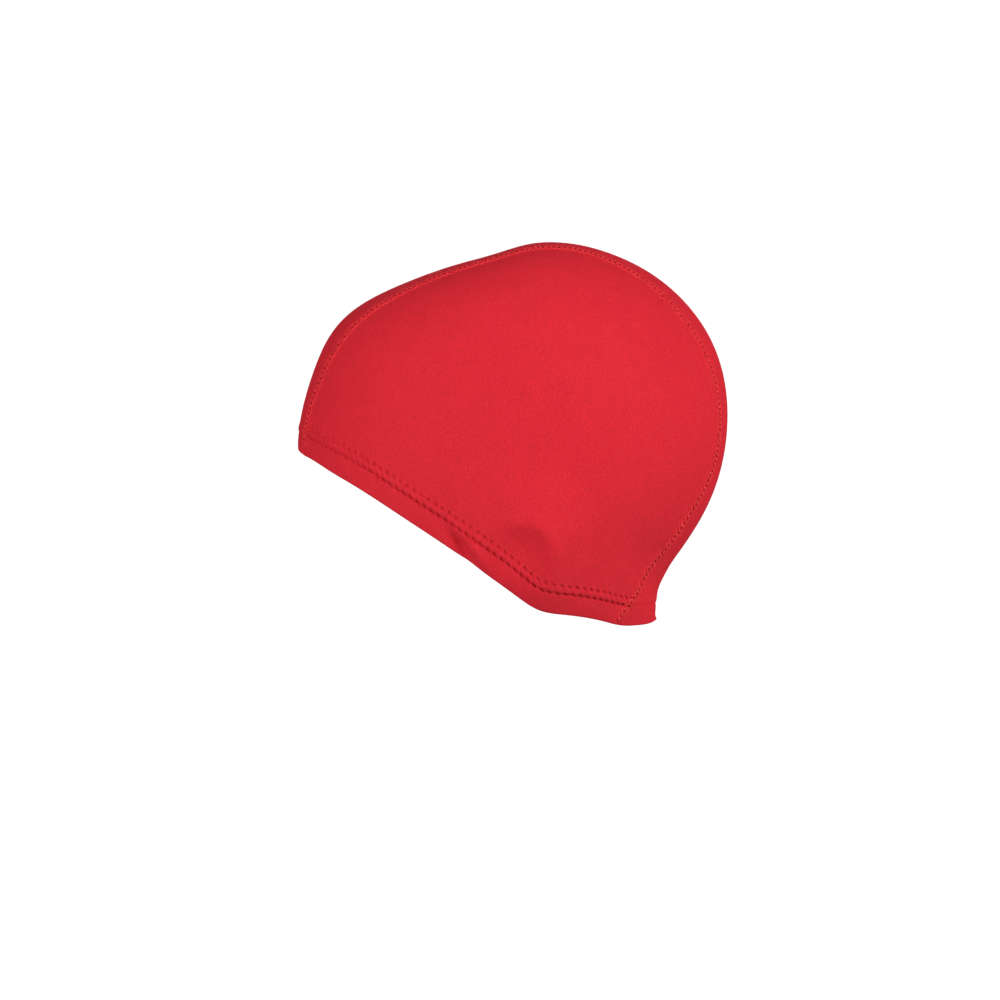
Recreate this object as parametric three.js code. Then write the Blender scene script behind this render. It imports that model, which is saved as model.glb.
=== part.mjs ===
// Swim cap: a pull-on cap of stretch knit, cut as two side panels and a narrow centre panel that
// runs over the crown, with its lower edge turned up into a hem. It has the form that it takes on
// a head. Millimetres, +Z up. The forehead is towards -Y and the wearer's left is +X. The origin
// is the crown of the head, at the inside of the cloth.
import * as THREE from "three";

// Driving sizes
const capLength = 200; // forehead to the back of the head
const capHeight = 178; // crown to the lower edge at the nape
const capWidth = 155; // across the widest place, above the ears
const sideFullness = 0.12; // how much fuller than an ellipse a section across the head is
const clothThickness = 1;
const hemHeight = 14; // lower edge to the end of the turned-up allowance
const hemThickness = 2.1; // the panel and its turned-up allowance together
const seamGap = 0.3; // between the two cut edges that a flat seam joins
const earRise = 8; // how far a flattened ear lifts the cloth
const earHeight = 62;
const earWidth = 44;
const earLean = 12; // degrees that the ear's top leans back
const earRearShare = 0.3; // how much further the ear's rear rim stands off than its middle
const earRoundness = 3.4; // 2 is a soft hill, more is a flatter mound with a steeper rim
const foldDepth = 1.6; // of the crease that slack cloth makes in the hem

// The side pole, the point of each side that lies flattest against the head. Everything seen from
// the side is a direction round it, 0 degrees towards the back and 90 up, and a reach.
const pole = { along: -0.012, up: -0.516 }; // shares of the length and the height

// Outline of the cap on its middle plane. Reach is a share of the length along Y and of the
// height along Z. Tuck is how much wider the cap is beside that outline, or narrower, than at the
// rest of the head. The rows below -62 degrees follow the face and the neck, which the cap leaves
// bare, and set how the sides draw in towards the edge.
const outline = [
  { direction: -165, reach: 0.587, tuck: 0 }, // cheek bone
  { direction: -150, reach: 0.605, tuck: 0 },
  { direction: -128, reach: 0.62, tuck: 0 },
  { direction: -112, reach: 0.63, tuck: 0 }, // jaw
  { direction: -96, reach: 0.64, tuck: 0 },
  { direction: -84, reach: 0.645, tuck: -0.08 },
  { direction: -76, reach: 0.635, tuck: -0.2 }, // neck
  { direction: -70, reach: 0.61, tuck: -0.33 },
  { direction: -66, reach: 0.583, tuck: -0.4 },
  { direction: -62, reach: 0.544, tuck: -0.42 },
  { direction: -59, reach: 0.504, tuck: -0.42 }, // nape
  { direction: -56, reach: 0.474, tuck: -0.4 },
  { direction: -53, reach: 0.4575, tuck: -0.38 },
  { direction: -49, reach: 0.4425, tuck: -0.33 },
  { direction: -44, reach: 0.432, tuck: -0.27 },
  { direction: -36, reach: 0.423, tuck: -0.2 },
  { direction: -24, reach: 0.4178, tuck: -0.14 },
  { direction: -12, reach: 0.418, tuck: -0.1 }, // back of the head
  { direction: 0, reach: 0.4235, tuck: -0.09 },
  { direction: 12, reach: 0.4355, tuck: -0.08 },
  { direction: 24, reach: 0.4525, tuck: -0.07 },
  { direction: 36, reach: 0.4705, tuck: -0.06 },
  { direction: 48, reach: 0.4865, tuck: -0.05 },
  { direction: 60, reach: 0.5003, tuck: -0.03 },
  { direction: 71, reach: 0.5095, tuck: -0.02 },
  { direction: 81, reach: 0.5162, tuck: 0 }, // peak of the crown
  { direction: 87, reach: 0.5175, tuck: 0 },
  { direction: 93, reach: 0.5148, tuck: 0 },
  { direction: 100, reach: 0.5045, tuck: 0 }, // shallow dip in front of the peak
  { direction: 105, reach: 0.4992, tuck: 0 },
  { direction: 111, reach: 0.5, tuck: 0 },
  { direction: 119, reach: 0.5078, tuck: 0 },
  { direction: 127, reach: 0.521, tuck: 0 },
  { direction: 134, reach: 0.538, tuck: 0 },
  { direction: 140, reach: 0.5542, tuck: 0 },
  { direction: 146, reach: 0.5665, tuck: 0 },
  { direction: 152, reach: 0.571, tuck: 0 }, // top of the forehead
  { direction: 160, reach: 0.5692, tuck: 0 },
  { direction: 168, reach: 0.5698, tuck: 0 },
  { direction: 176, reach: 0.5738, tuck: 0 }, // hem on the forehead
  { direction: 185, reach: 0.578, tuck: 0 },
];

// The plainer outline that the sides follow near the side pole
const sideForm = [
  { direction: -135, reach: 0.64 },
  { direction: -95, reach: 0.625 },
  { direction: -65, reach: 0.52 },
  { direction: -35, reach: 0.43 },
  { direction: 0, reach: 0.415 },
  { direction: 45, reach: 0.46 },
  { direction: 90, reach: 0.51 },
  { direction: 135, reach: 0.53 },
  { direction: 180, reach: 0.577 },
];

// Half width of the centre panel, as a share of the cap's width
const centrePanel = [
  { direction: -76, halfWidth: 0.225 },
  { direction: -66, halfWidth: 0.221 }, // nape
  { direction: -58, halfWidth: 0.205 },
  { direction: -47, halfWidth: 0.188 },
  { direction: -34, halfWidth: 0.188 },
  { direction: -18, halfWidth: 0.17 },
  { direction: 0, halfWidth: 0.155 }, // back of the head
  { direction: 20, halfWidth: 0.169 },
  { direction: 40, halfWidth: 0.179 },
  { direction: 55, halfWidth: 0.174 },
  { direction: 68, halfWidth: 0.156 },
  { direction: 82, halfWidth: 0.14 },
  { direction: 94, halfWidth: 0.144 }, // crown
  { direction: 106, halfWidth: 0.155 },
  { direction: 120, halfWidth: 0.162 },
  { direction: 135, halfWidth: 0.169 },
  { direction: 149, halfWidth: 0.173 }, // top of the forehead
  { direction: 162, halfWidth: 0.156 },
  { direction: 177, halfWidth: 0.139 }, // hem on the forehead
  { direction: 194, halfWidth: 0.136 },
];

// Lower edge seen from the side: place and height as shares of the length and the height, and
// how far up one millimetre of hem reaches, which is more where the edge slants
const lowerEdge = [
  { along: -0.62, up: -0.533, rise: 1.02 },
  { along: -0.577, up: -0.557, rise: 1.03 }, // forehead
  { along: -0.549, up: -0.574, rise: 1.05 },
  { along: -0.507, up: -0.603, rise: 1.1 },
  { along: -0.458, up: -0.635, rise: 1.16 }, // temple
  { along: -0.343, up: -0.717, rise: 1.18 },
  { along: -0.23, up: -0.801, rise: 1.21 }, // cheek
  { along: -0.117, up: -0.891, rise: 1.23 },
  { along: -0.083, up: -0.919, rise: 1.21 },
  { along: -0.052, up: -0.944, rise: 1.14 }, // ear lobe
  { along: -0.027, up: -0.959, rise: 1.06 },
  { along: 0, up: -0.967, rise: 1.02 },
  { along: 0.041, up: -0.973, rise: 1.01 },
  { along: 0.1, up: -0.984, rise: 1.02 },
  { along: 0.135, up: -0.994, rise: 1.03 },
  { along: 0.16, up: -1.001, rise: 1.02 },
  { along: 0.2, up: -1.003, rise: 1 }, // nape
  { along: 0.25, up: -1.0005, rise: 1 },
  { along: 0.3, up: -1, rise: 1 },
];

// Section through the hem: up its outside from the fold, then inside it. Rise is a share of the
// hem's height and depth a share of its thickness. The last row steps back to the single cloth.
const hemSection = [
  { rise: 1, depth: 0 },
  { rise: 0.7, depth: 0.08 }, // stitched groove
  { rise: 0.46, depth: -0.06 },
  { rise: 0.12, depth: 0 },
  { rise: 0.03, depth: 0.2 },
  { rise: 0, depth: 0.5 }, // folded edge
  { rise: 0.03, depth: 0.8 },
  { rise: 0.12, depth: 1 },
  { rise: 0.56, depth: 1 },
  { rise: 1, depth: 1 },
];

// Ear and creases seen from the side, as shares of the length and the height
const ear = { along: -0.075, up: -0.81 };
const folds = [
  { along: -0.222, up: -0.755, length: 0.11, width: 0.03, turn: -52, depth: 1 }, // under the temple
  { along: 0.262, up: -0.135, length: 0.07, width: 0.03, turn: 30, depth: 0.55 }, // at the rear seam
];

// Fineness of the faceted surfaces
const seamSteps = 48; // along a seam, hem to hem
const hemSteps = 32; // along a side panel's hem
const rings = 11; // side pole to the panel's edge
const acrossSteps = 6; // across the centre panel
const samples = 240; // along a line before it is divided evenly
const halvings = 40; // when a crossing is searched
const newtonSteps = 12; // when a root is searched

const degree = Math.PI / 180;
const quarterTurn = Math.PI / 2;

// Smooth curve through rows of x and y: cubic stretches whose bend runs on evenly from one to the
// next, and straight beyond both ends. The slopes are settled by repeated averaging.
function curveThrough(xs, ys) {
  const last = xs.length - 1;
  const step = xs.slice(1).map((x, i) => x - xs[i]);
  const climb = step.map((h, i) => (ys[i + 1] - ys[i]) / h);
  const slope = xs.map((_, i) => climb[Math.min(i, last - 1)]);
  for (let pass = 0; pass < 60; pass += 1) {
    slope[0] = (3 * climb[0] - slope[1]) / 2;
    for (let i = 1; i < last; i += 1) {
      const before = 1 / step[i - 1];
      const after = 1 / step[i];
      const pull = 3 * (climb[i - 1] * before + climb[i] * after);
      slope[i] = (pull - slope[i - 1] * before - slope[i + 1] * after) / (2 * (before + after));
    }
    slope[last] = (3 * climb[last - 1] - slope[last - 1]) / 2;
  }
  return (x) => {
    if (x <= xs[0]) return ys[0] + slope[0] * (x - xs[0]);
    if (x >= xs[last]) return ys[last] + slope[last] * (x - xs[last]);
    const i = xs.findIndex((end) => end > x) - 1;
    const h = step[i];
    const t = (x - xs[i]) / h;
    const bulge = (slope[i] - climb[i]) * (1 - t) + (climb[i] - slope[i + 1]) * t;
    return ys[i] + t * (ys[i + 1] - ys[i]) + t * (1 - t) * h * bulge;
  };
}

function columnCurve(rows, x, y) {
  return curveThrough(
    rows.map((row) => row[x]),
    rows.map((row) => row[y]),
  );
}

// Curve for a table of directions that goes all the way round
function roundCurve(rows, y) {
  const turned = (row, turn) => ({ ...row, direction: row.direction + turn });
  const before = rows.slice(-4).map((row) => turned(row, -360));
  const after = rows.slice(0, 4).map((row) => turned(row, 360));
  return columnCurve([...before, ...rows, ...after], "direction", y);
}
const outlineReach = roundCurve(outline, "reach");
const outlineTuck = roundCurve(outline, "tuck");
const sideReach = roundCurve(sideForm, "reach");
const halfWidthShare = columnCurve(centrePanel, "direction", "halfWidth");
const edgeUp = columnCurve(lowerEdge, "along", "up");
const edgeRise = columnCurve(lowerEdge, "along", "rise");

// A place on the cap is a two-dimensional vector: its angle is the direction round the side pole
// and its length the swing, from 0 at the pole to a quarter turn on the middle plane.
const place = (direction, swing) =>
  new THREE.Vector2(Math.cos(direction * degree), Math.sin(direction * degree)).multiplyScalar(swing);

const directionOf = (at) => {
  const direction = Math.atan2(at.y, at.x) / degree;
  return direction < outline[0].direction ? direction + 360 : direction;
};

// Outer face of the cloth before the ear and the creases move it
function headPoint(at) {
  const swing = at.length();
  const direction = directionOf(at);
  const sine = Math.sin(swing);
  const side = sideReach(direction);
  const reach = sine * (side + (outlineReach(direction) - side) * sine ** 4);
  const fuller = 1 + sideFullness * sine ** 2 + outlineTuck(direction) * sine ** 4;
  return new THREE.Vector3(
    (capWidth / 2) * Math.cos(swing) * fuller,
    capLength * (pole.along + reach * Math.cos(direction * degree)),
    clothThickness + capHeight * (pole.up + reach * Math.sin(direction * degree)),
  );
}

function headNormal(at) {
  const nudge = 0.004;
  const slopeAlong = (dx, dy) =>
    headPoint(new THREE.Vector2(at.x + dx, at.y + dy)).sub(
      headPoint(new THREE.Vector2(at.x - dx, at.y - dy)),
    );
  return slopeAlong(nudge, 0).cross(slopeAlong(0, nudge)).normalize();
}

// Root of a function by Newton's steps, with its slope measured over a small nudge
function rootOf(miss, start) {
  const nudge = 1e-5;
  let root = start;
  for (let pass = 0; pass < newtonSteps; pass += 1)
    root -= (2 * nudge * miss(root)) / (miss(root + nudge) - miss(root - nudge));
  return root;
}

// Swing at which the head has a given distance from the middle plane
const swingAt = (x, direction) =>
  rootOf((swing) => headPoint(place(direction, swing)).x - x, 0.8 * quarterTurn);

// A line along the head at a share of the centre panel's half width, moved sideways by a clearance
const lengthwise = (share, clearance) => (direction) =>
  place(direction, swingAt(share * (halfWidthShare(direction) * capWidth + clearance), direction));
const sideOfSeam = lengthwise(1, seamGap / 2);

// Height of the line that lies some way up the hem from the lower edge
function levelHeight(y, lift) {
  const along = y / capLength;
  return clothThickness + capHeight * edgeUp(along) + lift * edgeRise(along);
}

// Direction in which a lengthwise line crosses the level line, searched between a direction above
// it and one below it
function crossing(line, above, below, lift) {
  let inside = above;
  let outside = below;
  for (let pass = 0; pass < halvings; pass += 1) {
    const middle = (inside + outside) / 2;
    const point = headPoint(line(middle));
    if (point.z > levelHeight(point.y, lift)) inside = middle;
    else outside = middle;
  }
  return inside;
}

// From straight up to straight down, over the forehead and over the back of the head
const frontCrossing = (line, lift) => crossing(line, 90, 270, lift);
const napeCrossing = (line, lift) => crossing(line, 90, -90, lift);

// Divides a line of places into steps of even length on the head
function evenly(line, steps) {
  const points = line.map(headPoint);
  const run = [0];
  for (let i = 1; i < line.length; i += 1) run.push(run[i - 1] + points[i].distanceTo(points[i - 1]));
  const total = run[run.length - 1];
  return Array.from({ length: steps + 1 }, (_, k) => {
    const wanted = (total * k) / steps;
    const next = Math.max(1, run.findIndex((length) => length >= wanted - 1e-9));
    const share = (wanted - run[next - 1]) / (run[next] - run[next - 1]);
    return line[next - 1].clone().lerp(line[next], share);
  });
}

const sampled = (from, to, at) =>
  Array.from({ length: samples + 1 }, (_, i) => at(from + ((to - from) * i) / samples));

// Place of a side panel on the level line at y
function levelPlace(y, lift) {
  const along = y / capLength - pole.along;
  const up = (levelHeight(y, lift) - clothThickness) / capHeight - pole.up;
  const flat = new THREE.Vector2(along, up);
  const direction = directionOf(flat);
  const side = sideReach(direction);
  const detail = outlineReach(direction) - side;
  const guess = flat.length() / side;
  const sine = rootOf((share) => share * side + detail * share ** 5 - flat.length(), guess);
  return place(direction, Math.asin(Math.min(1, sine)));
}

// The level line of a side panel, from the front seam back to the nape
function levelLine(lift) {
  const front = sideOfSeam(frontCrossing(sideOfSeam, lift));
  const nape = sideOfSeam(napeCrossing(sideOfSeam, lift));
  const line = sampled(headPoint(front).y, headPoint(nape).y, (y) => levelPlace(y, lift));
  line[0] = front;
  line[samples] = nape;
  return evenly(line, hemSteps);
}

// Where a point lies from a place of the side view, along and across a line turned by some degrees
function seenFrom(point, at, turn) {
  const offset = new THREE.Vector2(point.y - at.along * capLength, point.z - at.up * capHeight);
  return offset.rotateAround(new THREE.Vector2(), -turn * degree);
}

// How far the ear holds the cloth off the head: a flattened mound, higher at the ear's rear rim
function earLift(point) {
  const offset = seenFrom(point, ear, -earLean);
  const across = offset.x / (earWidth / 2);
  const up = offset.y / (earHeight / 2);
  const mound = Math.exp(-Math.LN2 * Math.hypot(across, up) ** earRoundness);
  return earRise * (1 + earRearShare * across) * mound;
}

function foldSink(point) {
  let sink = 0;
  for (const fold of folds) {
    const offset = seenFrom(point, fold, fold.turn);
    const along = (2 * offset.x) / (fold.length * capLength);
    const across = (2 * offset.y) / (fold.width * capLength);
    sink += fold.depth * foldDepth * Math.exp(-(along ** 2) - across ** 2);
  }
  return sink;
}

// Point of the cloth at a place and a depth under its outer face, on the left or the right side
function clothPoint(at, depth, side) {
  const point = headPoint(at);
  const lift = earLift(point);
  point.addScaledVector(headNormal(at), -depth - foldSink(point));
  point.x = side * (point.x + lift);
  return point;
}

// Collects the corners and faces of one closed piece
class Piece {
  constructor() {
    this.corners = [];
    this.faces = [];
  }

  add(point) {
    return this.corners.push(point) - 1;
  }

  row(points) {
    return points.map((point) => this.add(point));
  }

  quad(a, b, c, d) {
    this.faces.push(a, b, c, a, c, d);
  }

  // Joins two rows of corners that run side by side
  band(row, next) {
    for (let i = 0; i + 1 < row.length; i += 1) this.quad(row[i], row[i + 1], next[i + 1], next[i]);
  }

  // Fills the end of a hem, whose corners run down its outside and up its inside
  hemEnd(corners) {
    const last = corners.length - 1;
    for (let i = 0; i + 1 < last - i; i += 1) {
      const [a, b, c, d] = [corners[i], corners[i + 1], corners[last - i - 1], corners[last - i]];
      if (b === c) this.faces.push(a, b, d);
      else this.quad(a, b, c, d);
    }
  }

  mesh(name, material, turnedOver) {
    const order = turnedOver ? [0, 2, 1] : [0, 1, 2];
    const index = this.faces.map((_, i) => this.faces[i - (i % 3) + order[i % 3]]);
    const geometry = new THREE.BufferGeometry().setFromPoints(this.corners);
    geometry.setIndex(index);
    geometry.computeVertexNormals();
    const mesh = new THREE.Mesh(geometry, material);
    mesh.name = name;
    return mesh;
  }
}

// A side panel: a fan of rings from the side pole out to its edge, for the outer and the inner
// face, with the hem's section drawn along its lower edge
function makeSidePanel(name, side, material) {
  const piece = new Piece();
  const seamLine = evenly(
    sampled(
      frontCrossing(sideOfSeam, hemHeight),
      napeCrossing(sideOfSeam, hemHeight),
      sideOfSeam,
    ),
    seamSteps,
  );
  const hemTop = levelLine(hemHeight);
  const round = [...seamLine, ...hemTop.slice(1, -1).reverse()];

  // Rings of one face of the panel; the last ring is the panel's edge
  const face = (depth, inner) => {
    const centre = piece.add(clothPoint(new THREE.Vector2(), depth, side));
    let ring = null;
    for (let k = 1; k <= rings; k += 1) {
      const share = k / rings;
      const next = piece.row(round.map((at) => clothPoint(at.clone().multiplyScalar(share), depth, side)));
      for (let i = 0; i < next.length; i += 1) {
        const j = (i + 1) % next.length;
        if (!ring) piece.faces.push(centre, ...(inner ? [next[i], next[j]] : [next[j], next[i]]));
        else if (inner) piece.quad(ring[i], next[i], next[j], ring[j]);
        else piece.quad(ring[j], next[j], next[i], ring[i]);
      }
      ring = next;
    }
    return ring;
  };
  const outerEdge = face(0, false);
  const innerEdge = face(clothThickness, true);

  // The cut edge along the seam
  piece.band(outerEdge.slice(0, seamSteps + 1), innerEdge.slice(0, seamSteps + 1));

  // The hem, from the outer face down round the fold and up to the inner face
  const alongHem = (edge) => [edge[0], ...edge.slice(seamSteps + 1).reverse(), edge[seamSteps]];
  const hemRows = [alongHem(outerEdge)];
  for (const { rise, depth } of hemSection.slice(1)) {
    const line = levelLine(rise * hemHeight);
    hemRows.push(piece.row(line.map((at) => clothPoint(at, depth * hemThickness, side))));
  }
  hemRows.push(alongHem(innerEdge));
  for (let k = 0; k + 1 < hemRows.length; k += 1) piece.band(hemRows[k + 1], hemRows[k]);
  piece.hemEnd(hemRows.map((row) => row[0]).reverse());
  piece.hemEnd(hemRows.map((row) => row[hemSteps]));
  return piece.mesh(name, material, side < 0);
}

// The centre panel: closed rings that run over the head, round the hem at the nape, back under
// the outer face and round the hem on the forehead, one for each line along the panel
function makeCentrePanel(name, material) {
  const piece = new Piece();
  const loops = [];
  for (let k = 0; k <= acrossSteps; k += 1) {
    const share = (2 * k) / acrossSteps - 1;
    const side = share < 0 ? -1 : 1;
    const line = lengthwise(Math.abs(share), -seamGap / 2);
    const top = sampled(frontCrossing(line, hemHeight), napeCrossing(line, hemHeight), line);
    const over = evenly(top, seamSteps);
    const hem = (cross) =>
      hemSection.slice(1).map(({ rise, depth }) => {
        const at = line(cross(line, rise * hemHeight));
        return clothPoint(at, depth * hemThickness, side);
      });
    loops.push({
      outer: piece.row(over.map((at) => clothPoint(at, 0, side))),
      nape: piece.row(hem(napeCrossing)),
      inner: piece.row(over.map((at) => clothPoint(at, clothThickness, side)).reverse()),
      front: piece.row(hem(frontCrossing).reverse()),
    });
  }
  const closed = ({ outer, nape, inner, front }) => [...outer, ...nape, ...inner, ...front, outer[0]];
  for (let k = 0; k < acrossSteps; k += 1) piece.band(closed(loops[k + 1]), closed(loops[k]));

  // Both cut edges, and the ends of the hems beside them
  const cutEdge = ({ outer, nape, inner, front }, far) => {
    const under = [...inner].reverse();
    const napeEnd = [outer[seamSteps], ...nape, under[seamSteps]];
    const frontEnd = [under[0], ...front, outer[0]];
    piece.band(...(far ? [under, outer] : [outer, under]));
    piece.hemEnd(far ? napeEnd.reverse() : napeEnd);
    piece.hemEnd(far ? frontEnd.reverse() : frontEnd);
  };
  cutEdge(loops[0], false);
  cutEdge(loops[acrossSteps], true);
  return piece.mesh(name, material, false);
}

const redKnit = () => new THREE.MeshStandardMaterial({ color: 0xce2a35, roughness: 0.6, metalness: 0 });

const group = new THREE.Group();
group.add(
  makeSidePanel("side_panel_left", 1, redKnit()),
  makeCentrePanel("centre_panel", redKnit()),
  makeSidePanel("side_panel_right", -1, redKnit()),
);

export default group;
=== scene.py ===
# %% [markdown]
# # A pull-on swim cap in stretch knit
# The real cap is cut as two side panels and a narrow centre panel that runs over the crown. Flat
# seams join them, and the lower edge is turned up inside and held by two rows of stitches. This
# lesson makes each panel as one closed surface worked out with numpy, adds the threads as tubes,
# and lights it softly. Everything is in metres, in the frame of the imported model.

import bpy
import numpy as np
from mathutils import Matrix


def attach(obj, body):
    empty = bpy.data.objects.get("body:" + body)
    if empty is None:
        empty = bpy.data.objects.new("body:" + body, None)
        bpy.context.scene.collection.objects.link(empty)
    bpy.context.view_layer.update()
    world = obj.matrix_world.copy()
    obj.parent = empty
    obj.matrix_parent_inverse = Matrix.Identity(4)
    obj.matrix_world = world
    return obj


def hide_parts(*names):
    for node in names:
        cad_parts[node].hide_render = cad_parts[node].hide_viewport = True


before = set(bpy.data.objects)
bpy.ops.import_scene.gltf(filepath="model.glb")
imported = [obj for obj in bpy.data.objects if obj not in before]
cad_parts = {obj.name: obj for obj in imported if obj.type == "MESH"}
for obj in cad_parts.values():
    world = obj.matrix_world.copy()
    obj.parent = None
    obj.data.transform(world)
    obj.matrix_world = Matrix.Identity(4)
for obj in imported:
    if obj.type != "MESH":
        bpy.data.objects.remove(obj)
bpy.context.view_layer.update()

# %% [markdown]
# ## The camera
# The cap is seen exactly from its left side, at its own height. A long lens from two metres away
# keeps the far side from spreading. The camera comes first, so that every later step can be
# looked at through it.

# %% Camera
camera_distance = 2.0
view_centre = (0.0, -0.02336, -0.1192)
photo_pixels = 1000
pixels_per_metre = 2140
view_width = photo_pixels / pixels_per_metre
sensor_width = 0.036

camera_data = bpy.data.cameras.new("side_camera")
camera_data.sensor_width = 1000 * sensor_width
camera_data.lens = 1000 * sensor_width * camera_distance / view_width
camera = bpy.data.objects.new("side_camera", camera_data)
camera.location = (camera_distance, view_centre[1], view_centre[2])
camera.rotation_euler = (np.pi / 2, 0.0, np.pi / 2)
bpy.context.scene.collection.objects.link(camera)
bpy.context.scene.camera = camera
print("lens", round(camera_data.lens, 1), "mm")

# %% [markdown]
# ## The sizes
# Every shape below follows from these few lengths, so a change of one moves all that hangs on it.
# Tables hold their places as shares of the lengths, one row for each place, and a column is
# called by its name.

# %% Driving sizes
mm = 0.001
cap_length = 200 * mm
cap_height = 178 * mm
cap_width = 155 * mm
side_fullness = 0.12
cloth_thickness = 1 * mm
hem_height = 14 * mm
hem_thickness = 2.1 * mm
seam_gap = 0.06 * mm
ear_rise = 8 * mm
ear_height = 62 * mm
ear_width = 44 * mm
ear_lean = 12
ear_rear_share = 0.3
ear_roundness = 3.4
rim_radius = 13.3 * mm
rim_width = 5 * mm
rim_height = 2 * mm
fold_depth = 1.6 * mm
quarter_turn = np.pi / 2


def table(columns, *rows):
    """A table as one array for each named column."""
    return dict(zip(columns.split(), np.array(rows, float).T))


# %% [markdown]
# ## Outlines as tables
# A worn cap has no simple formula: its outline swells over the crown, dips in front of it and
# draws in at the nape. So the outline is a table of directions round the side pole, the point of
# each side that lies flattest. It could be a Bezier curve drawn by hand, but a table with a smooth
# curve through it can be computed for thousands of points at once.

# %% Tables of the form
pole = {"along": -0.012, "up": -0.516}

# Reach is a share of the length along Y and of the height along Z. Tuck is the share by which the
# cap is wider beside that outline, so it is below zero where the cap draws in.
outline = table(
    "direction reach tuck",
    (-165, 0.587, 0),
    (-150, 0.605, 0),
    (-128, 0.62, 0),
    (-112, 0.63, 0),
    (-96, 0.64, 0),
    (-84, 0.645, -0.08),
    (-76, 0.635, -0.2),
    (-70, 0.61, -0.33),
    (-66, 0.583, -0.4),
    (-62, 0.544, -0.42),
    (-59, 0.504, -0.42),
    (-56, 0.474, -0.4),
    (-53, 0.4575, -0.38),
    (-49, 0.4425, -0.33),
    (-44, 0.432, -0.27),
    (-36, 0.423, -0.2),
    (-24, 0.4178, -0.14),
    (-12, 0.418, -0.1),
    (0, 0.4235, -0.09),
    (12, 0.4355, -0.08),
    (24, 0.4525, -0.07),
    (36, 0.4705, -0.06),
    (48, 0.4865, -0.05),
    (60, 0.5003, -0.03),
    (71, 0.5095, -0.02),
    (81, 0.5162, 0),
    (87, 0.5175, 0),
    (93, 0.5148, 0),
    (100, 0.5045, 0),
    (105, 0.4992, 0),
    (111, 0.5, 0),
    (119, 0.5078, 0),
    (127, 0.521, 0),
    (134, 0.538, 0),
    (140, 0.5542, 0),
    (146, 0.5665, 0),
    (152, 0.571, 0),
    (160, 0.5692, 0),
    (168, 0.5698, 0),
    (176, 0.5738, 0),
    (185, 0.578, 0),
)

# The plainer outline that the sides follow near the side pole
side_form = table(
    "direction reach",
    (-135, 0.64),
    (-95, 0.625),
    (-65, 0.52),
    (-35, 0.43),
    (0, 0.415),
    (45, 0.46),
    (90, 0.51),
    (135, 0.53),
    (180, 0.577),
)

# Half width of the centre panel, as a share of the cap's width
centre_form = table(
    "direction half_width",
    (-76, 0.225),
    (-66, 0.221),
    (-58, 0.205),
    (-47, 0.188),
    (-34, 0.188),
    (-18, 0.17),
    (0, 0.155),
    (20, 0.169),
    (40, 0.179),
    (55, 0.174),
    (68, 0.156),
    (82, 0.14),
    (94, 0.144),
    (106, 0.155),
    (120, 0.162),
    (135, 0.169),
    (149, 0.173),
    (162, 0.156),
    (177, 0.139),
    (194, 0.136),
)

# Lower edge seen from the side, and how far up one millimetre of hem reaches
lower_edge = table(
    "along up rise",
    (-0.62, -0.533, 1.02),
    (-0.577, -0.557, 1.03),
    (-0.549, -0.574, 1.05),
    (-0.507, -0.603, 1.1),
    (-0.458, -0.635, 1.16),
    (-0.343, -0.717, 1.18),
    (-0.23, -0.801, 1.21),
    (-0.117, -0.891, 1.23),
    (-0.083, -0.919, 1.21),
    (-0.052, -0.944, 1.14),
    (-0.027, -0.959, 1.06),
    (0, -0.967, 1.02),
    (0.041, -0.973, 1.01),
    (0.1, -0.984, 1.02),
    (0.135, -0.994, 1.03),
    (0.16, -1.001, 1.02),
    (0.2, -1.003, 1),
    (0.25, -1.0005, 1),
    (0.3, -1, 1),
)

# Flattened ear and creases under the cloth, seen from the side
ear = {"along": -0.075, "up": -0.81}
ear_rim = {"along": -0.0655, "up": -0.801}
folds = table(
    "along up length width turn depth",
    (-0.2056, -0.788, 0.09, 0.022, -52, 2.2),
    (-0.172, -0.8, 0.08, 0.028, -52, -0.95),
    (0.25, -0.152, 0.05, 0.013, 35, 0.6),
    (0.285, -0.21, 0.06, 0.03, -55, 0.4),
)

# %% [markdown]
# ## Smooth curves
# Straight lines between the rows would show as creases, and a cubic spline with an even bend
# doesn't. Its slopes come from one small set of equations, solved once. A table of directions
# goes all the way round, so a few of its rows are repeated past both ends.


# %% Curves through the tables
def smooth_curve(xs, ys):
    """Curve through rows of x and y, straight beyond both ends.

    Between two rows y is the straight line plus t (1 - t) step bulge, where t runs from 0 to 1
    and the bulge blends how far the slopes at both ends differ from the line's. The slopes are
    those that let the bend run on evenly from one stretch to the next.
    """
    count = len(xs)
    step = np.diff(xs)
    climb = np.diff(ys) / step
    weights = np.zeros((count, count))
    wanted = np.empty(count)
    inner = np.arange(1, count - 1)
    weights[inner, inner - 1] = 1 / step[:-1]
    weights[inner, inner] = 2 / step[:-1] + 2 / step[1:]
    weights[inner, inner + 1] = 1 / step[1:]
    wanted[inner] = 3 * (climb[:-1] / step[:-1] + climb[1:] / step[1:])
    weights[0, :2] = 2, 1
    weights[-1, -2:] = 1, 2
    wanted[0] = 3 * climb[0]
    wanted[-1] = 3 * climb[-1]
    slope = np.linalg.solve(weights, wanted)

    def curve(x):
        x = np.asarray(x, float)
        inside = np.clip(x, xs[0], xs[-1])
        i = np.clip(np.searchsorted(xs, inside, side="right") - 1, 0, count - 2)
        t = (inside - xs[i]) / step[i]
        bulge = (slope[i] - climb[i]) * (1 - t) + (climb[i] - slope[i + 1]) * t
        y = ys[i] + t * (ys[i + 1] - ys[i]) + t * (1 - t) * step[i] * bulge
        return y + (x - inside) * np.where(x < xs[0], slope[0], slope[-1])

    return curve


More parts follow.
